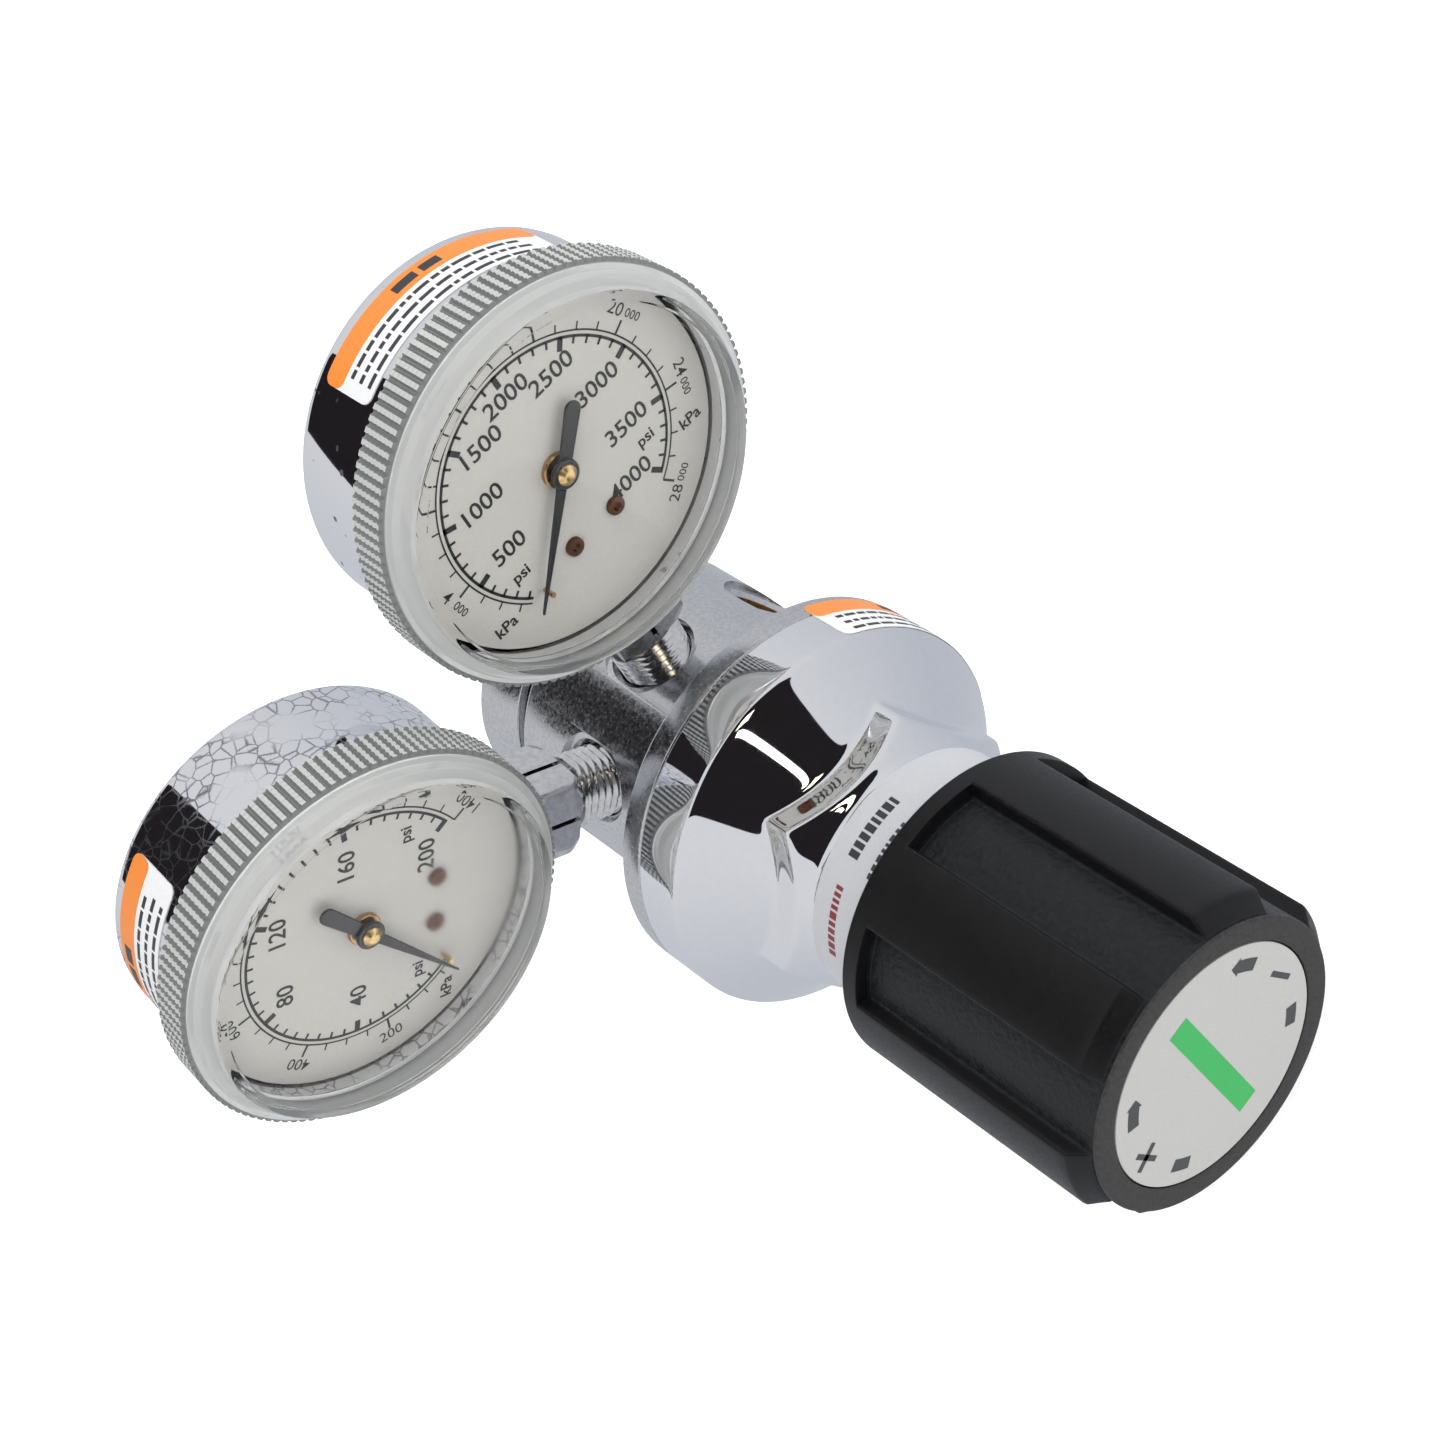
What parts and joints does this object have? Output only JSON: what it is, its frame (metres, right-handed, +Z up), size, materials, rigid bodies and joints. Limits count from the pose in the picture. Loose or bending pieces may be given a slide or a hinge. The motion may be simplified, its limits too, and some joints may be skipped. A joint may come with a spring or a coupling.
{
  "type": "two-gauge compressed gas regulator",
  "caption": "Cylinder pressure regulator with two dial gauges on threaded stems, a chromed body and bonnet, and a ribbed adjusting knob.",
  "frame": {"origin": "centre of the rear cap's flat rear face, on the main axis", "axes": "-Y along the main axis towards the knob, +Z up midway between the gauges, +X to the inlet port"},
  "size_m": [0.1461, 0.1509, 0.1377],
  "materials": {
    "chrome_body": "satin chrome plate on brass",
    "chrome_bonnet": "bright chrome plate on brass",
    "case_chrome": "bright chrome plate on drawn steel",
    "chrome_brass": "bright plate on brass",
    "knob_black": "gloss ribs, fine texture between them",
    "disc_white": "printed disc under a clear gloss face",
    "label_paper": "printed film label",
    "clear_plastic": "clear polycarbonate",
    "dial_white": "matt white paint with black print",
    "pointer_black": "satin black paint",
    "bronzed_steel": "dark bronzed",
    "brass": "machined",
    "bronze_tube": "drawn bronze",
    "spring_steel": "oiled steel"
  },
  "bodies": {
    "regulator": {"body": "chrome_body", "bonnet": "chrome_bonnet", "bonnet_sticker": "label_paper", "diaphragm": "spring_steel", "first_stage_diaphragm": "spring_steel", "first_stage_nozzle": "brass", "first_stage_poppet_spring": "spring_steel", "first_stage_spring": "spring_steel", "high_bourdon_tube": "bronze_tube", "high_case": "case_chrome", "high_dial_plate": "dial_white", "high_dial_screws": "bronzed_steel", "high_movement_frame": "brass", "high_stem": "chrome_brass", "high_sticker": "label_paper", "high_stop_pin": "brass", "high_window": "clear_plastic", "inlet_filter": "bronze_tube", "low_bourdon_tube": "bronze_tube", "low_case": "case_chrome", "low_dial_plate": "dial_white", "low_dial_screws": "bronzed_steel", "low_movement_frame": "brass", "low_stem": "chrome_brass", "low_sticker": "label_paper", "low_stop_pin": "brass", "low_window": "clear_plastic", "neck_label": "label_paper", "range_spring": "spring_steel", "rear_cap": "chrome_body", "second_stage_nozzle": "brass", "second_stage_poppet_spring": "spring_steel", "slip_ring": "brass"},
    "spring_carrier": {"spring_button": "spring_steel", "thrust_ball": "spring_steel"},
    "knob": {"knob": "knob_black", "adjusting_screw": "spring_steel", "knob_disc": "disc_white"},
    "diaphragm_plate": {"diaphragm_plate": "brass"},
    "second_stage_poppet": {"second_stage_poppet": "brass"},
    "first_stage_plate": {"first_stage_plate": "brass"},
    "first_stage_poppet": {"first_stage_poppet": "brass"},
    "high_sector": {"high_sector_gear": "brass"},
    "high_link": {"high_link": "brass"},
    "high_pointer": {"high_pinion_shaft": "brass", "high_pointer": "pointer_black", "high_pointer_hub": "brass", "high_hairspring": "bronze_tube"},
    "low_sector": {"low_sector_gear": "brass"},
    "low_link": {"low_link": "brass"},
    "low_pointer": {"low_pinion_shaft": "brass", "low_pointer": "pointer_black", "low_pointer_hub": "brass", "low_hairspring": "bronze_tube"}
  },
  "joints": [
    {"name": "knob_advance", "type": "slide", "parent": "regulator", "child": "spring_carrier", "axis": [0, 1, 0], "range_m": [0, 0.00875], "deforming": ["range_spring"]},
    {"name": "knob_turn", "type": "hinge", "parent": "spring_carrier", "child": "knob", "pos_m": [0, -0.125, 0], "axis": [0, 1, 0], "range_deg": [0, 1800]},
    {"name": "diaphragm_flex", "type": "slide", "parent": "regulator", "child": "diaphragm_plate", "axis": [0, 1, 0], "range_m": [0, 0.001], "stiffness_N_per_m": 1500, "deforming": ["diaphragm"]},
    {"name": "second_poppet_lift", "type": "slide", "parent": "regulator", "child": "second_stage_poppet", "axis": [0, 1, 0], "range_m": [0, 0.001], "deforming": ["second_stage_poppet_spring"]},
    {"name": "first_diaphragm_flex", "type": "slide", "parent": "regulator", "child": "first_stage_plate", "axis": [0, -1, 0], "range_m": [0, 0.0008], "stiffness_N_per_m": 1500, "deforming": ["first_stage_diaphragm", "first_stage_spring"]},
    {"name": "first_poppet_lift", "type": "slide", "parent": "regulator", "child": "first_stage_poppet", "axis": [0, -1, 0], "range_m": [0, 0.0008], "deforming": ["first_stage_poppet_spring"]},
    {"name": "high_sector_swing", "type": "hinge", "parent": "regulator", "child": "high_sector", "pos_m": [0.03248, -0.0346, 0.0586], "axis": [0, -1, 0], "range_deg": [0, 39.2], "stiffness_Nm_per_rad": 0.002},
    {"name": "high_link_swing", "type": "hinge", "parent": "high_sector", "child": "high_link", "pos_m": [0.03006, -0.0355, 0.05423], "axis": [0, -1, 0], "range_deg": [-39.2, 0]},
    {"name": "high_pointer_turn", "type": "hinge", "parent": "regulator", "child": "high_pointer", "pos_m": [0.0383, -0.047, 0.0691], "axis": [0, 1, 0], "range_deg": [0, 274.4], "deforming": ["high_hairspring"]},
    {"name": "low_sector_swing", "type": "hinge", "parent": "regulator", "child": "low_sector", "pos_m": [-0.03253, -0.0346, 0.05858], "axis": [-0.0869, -0.9951, -0.0482], "range_deg": [0, 39.2], "stiffness_Nm_per_rad": 0.002},
    {"name": "low_link_swing", "type": "hinge", "parent": "low_sector", "child": "low_link", "pos_m": [-0.03018, -0.03549, 0.05416], "axis": [-0.0869, -0.9951, -0.0482], "range_deg": [-39.2, 0]},
    {"name": "low_pointer_turn", "type": "hinge", "parent": "regulator", "child": "low_pointer", "pos_m": [-0.03942, -0.04694, 0.06847], "axis": [0.0869, 0.9951, 0.0482], "range_deg": [0, 274.4], "deforming": ["low_hairspring"]}
  ],
  "couplings": [
    {"joint": "knob_advance", "follows": "knob_turn", "m_per_rad": 0.00027852},
    {"joint": "second_poppet_lift", "follows": "diaphragm_flex", "ratio": 1},
    {"joint": "first_poppet_lift", "follows": "first_diaphragm_flex", "ratio": 1},
    {"joint": "high_pointer_turn", "follows": "high_sector_swing", "ratio": 7},
    {"joint": "high_link_swing", "follows": "high_sector_swing", "ratio": -1},
    {"joint": "low_pointer_turn", "follows": "low_sector_swing", "ratio": 7},
    {"joint": "low_link_swing", "follows": "low_sector_swing", "ratio": -1}
  ]
}
